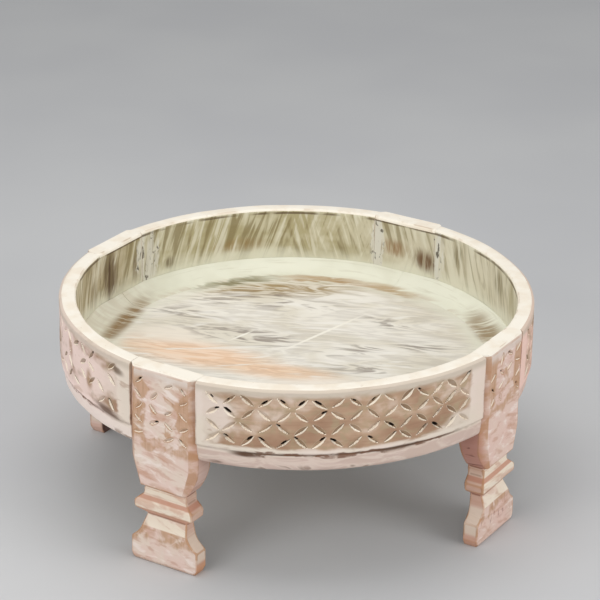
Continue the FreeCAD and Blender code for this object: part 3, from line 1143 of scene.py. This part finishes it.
def cove_paint(toe):
    """Thick pale whitewash drawn along the moulding, thin towards the floor."""
    mix = Finish("cove_paint")
    place = mix.solid_place()
    pull = mix.noise(mix.surface_place(), (12, 240, 1))
    cloud = mix.noise(place, (9, 9, 9))
    streak = mix.noise(place, (7, 34, 1), slant=grain_turn, warp=1.6)
    fine = mix.noise(place, (16, 130, 1), slant=grain_turn, warp=0.6)
    mix.base("#E8E8D7", "#DEDDCA", cloud, 0.40, 0.62)
    mix.coat("#CBC7B2", 0.5, mix.span(pull, 0.54, 0.72))
    mix.marks(place, dull_rubs, mix.span(streak, 0.34, 0.60, 0.4, 1.0))
    thin = mix.span(mix.reach(place), *(toe + border for border in cove_thin))
    mix.coat("#D2C9B6", 0.8, thin, mix.span(streak, 0.42, 0.58))
    brown_coats(mix, place, fine, toe)
    return mix.done(pull, (0.45, 0.65), pull, thick_relief)


def floor_paint(toe):
    """Sanded whitewash on the floor boards, with grey streaks, rubs, scratches and painted light along the
    front.
    """
    mix = Finish("floor_paint")
    place = mix.solid_place()
    grain = mix.noise(place, (10, 110, 1), slant=grain_turn, detail=4.0, warp=0.8)
    fine = mix.noise(place, (16, 130, 1), slant=grain_turn, warp=0.6)
    streak = mix.noise(place, (7, 34, 1), slant=grain_turn, detail=2.5, warp=3.2)
    sweep = mix.noise(place, (5, 24, 1), slant=grain_turn - 0.15, detail=2.0, warp=2.0)
    cloud = mix.noise(place, (9, 14, 1), slant=grain_turn, warp=0.8)
    mix.base("#EFEADF", "#E2DBCB", cloud, 0.38, 0.62)
    mix.marks(place, orange_rubs, mix.span(streak, 0.34, 0.58, 0.60, 1.0))
    mix.marks(place, olive_rubs, mix.span(streak, 0.40, 0.56, 0.2, 1.0))
    dark = mix.times(mix.span(streak, 0.42, 0.57), mix.span(fine, 0.34, 0.58, 0.50, 1.0))
    share = grey_everywhere
    for *oval, strength in grey_rubs:
        share = mix.plus(share, mix.times(mix.patch(place, *oval), strength))
    mix.coat("#968B80", 1.0, mix.calc("MINIMUM", mix.times(dark, share), grey_most))
    mix.coat("#F3EFE6", 0.7, mix.span(sweep, 0.54, 0.66))
    hem = mix.span(mix.reach(place), *(toe + border for border in floor_hem))
    mix.coat("#E4E2D2", 1.0, hem, mix.span(cloud, 0.36, 0.52, 0.3, 0.9))
    brown_coats(mix, place, fine, toe)
    # Pale rubs and scratches, and painted light along the front of the floor
    mix.marks(place, pale_rubs_and_painted_light, 1.0)
    return mix.done(grain, (0.45, 0.70), grain, wood_relief)


# Finishes below the floor

def bare_wood():
    """Planed wood without paint, for the battens under the floor."""
    mix = Finish("bare_wood")
    place = mix.solid_place()
    grain = mix.noise(place, (160, 8, 160), slant=grain_turn, detail=5.0, warp=0.4)
    ring = mix.noise(place, (40, 3, 40), slant=grain_turn, warp=1.0)
    mix.base("#A88763", "#7C5C3F", grain, 0.35, 0.65)
    mix.coat("#5F4530", 0.5, mix.span(ring, 0.45, 0.65))
    return mix.done(grain, (0.60, 0.80), grain, thick_relief)


def forged_iron():
    """Dull forged nails with some rust."""
    mix = Finish("forged_iron")
    place = mix.solid_place()
    pitting = mix.noise(place, (700, 700, 700), detail=4.0)
    rust = mix.noise(place, (220, 220, 220))
    mix.base("#3F3A37", "#6B432B", rust, 0.45, 0.65)
    mix.feed(mix.shader, {"Metallic": mix.span(rust, 0.45, 0.65, 0.85, 0.1)})
    return mix.done(pitting, (0.45, 0.75), pitting, iron_relief)


# Stage, light and camera

def stage_floor():
    """Plain pale studio floor with a faint unevenness."""
    mix = Finish("studio_floor")
    cloud = mix.noise(mix.solid_place(), (2, 2, 2), detail=2.0)
    mix.base("#C6C7C9", "#CBCCCD", cloud, 0.3, 0.7)
    material = mix.done(cloud, (0.8, 0.8), cloud, stage_relief)
    bpy.ops.mesh.primitive_plane_add(size=stage_size, location=stage_middle)
    plane = bpy.context.object
    plane.name = "studio_floor"
    plane.data.materials.append(material)


def area_light(name, size, power, place):
    lamp = bpy.data.lights.new(name, "AREA")
    lamp.size = size
    lamp.energy = power
    lamp_object = new_object(name, lamp)
    lamp_object.location = place
    lamp_object.rotation_euler = (Vector(lamp_target) - Vector(place)).to_track_quat("-Z", "Y").to_euler()


def studio_light():
    """An even white sky and soft lamps."""
    world = bpy.data.worlds.new("studio")
    world.use_nodes = True
    background = world.node_tree.nodes["Background"]
    background.inputs["Color"].default_value = (1.0, 1.0, 1.0, 1)
    background.inputs["Strength"].default_value = sky_strength
    bpy.context.scene.world = world
    for name, lamp in lamps.items():
        area_light(name, *lamp)


def photo_camera():
    """The camera that took the photograph, as fitted."""
    camera = bpy.data.cameras.new("photo_camera")
    camera.lens = camera_lens
    camera.sensor_width = camera_sensor
    camera.clip_end = camera_reach
    place = Matrix.Rotation(camera_turn, 4, "Z") @ Vector((0, -camera_distance, camera_height))
    yaw = Matrix.Rotation(camera_turn - camera_pan, 4, "Z")
    pitch = Matrix.Rotation(quarter - camera_pitch, 4, "X")
    roll = Matrix.Rotation(camera_roll, 4, "Z")
    camera_object = new_object("photo_camera", camera)
    camera_object.matrix_world = Matrix.Translation(place) @ yaw @ pitch @ roll
    bpy.context.scene.camera = camera_object


def dress_node(name, material):
    """Gives a solid that stays in view its material."""
    slots = nodes[name].data.materials
    slots.clear()
    slots.append(material)


def dress():
    """Puts meshes over the panels, coves and legs, and paints the other solids."""
    top = top_paint()
    wall = wall_paint()
    outside = rim_paint()
    leg_finish = leg_paint()
    toe = min(point.x for point in front_section("cove_front"))
    cove_finish = cove_paint(toe)
    levels = leg_levels()
    for name in panel_angles:
        rim_panel(name, (outside, top, wall))
        cove_strip(name, levels, cove_finish)
    for name in leg_angles:
        carved_leg(name, levels, (leg_finish, top, wall))
    finishes = {"floor_board": floor_paint(toe), "batten_nails": forged_iron(), "batten": bare_wood()}
    for name in nodes:
        for start, material in finishes.items():
            if name.startswith(start):
                dress_node(name, material)
                break


bpy.context.scene.view_settings.view_transform = "Standard"
dress()
stage_floor()
studio_light()
photo_camera()
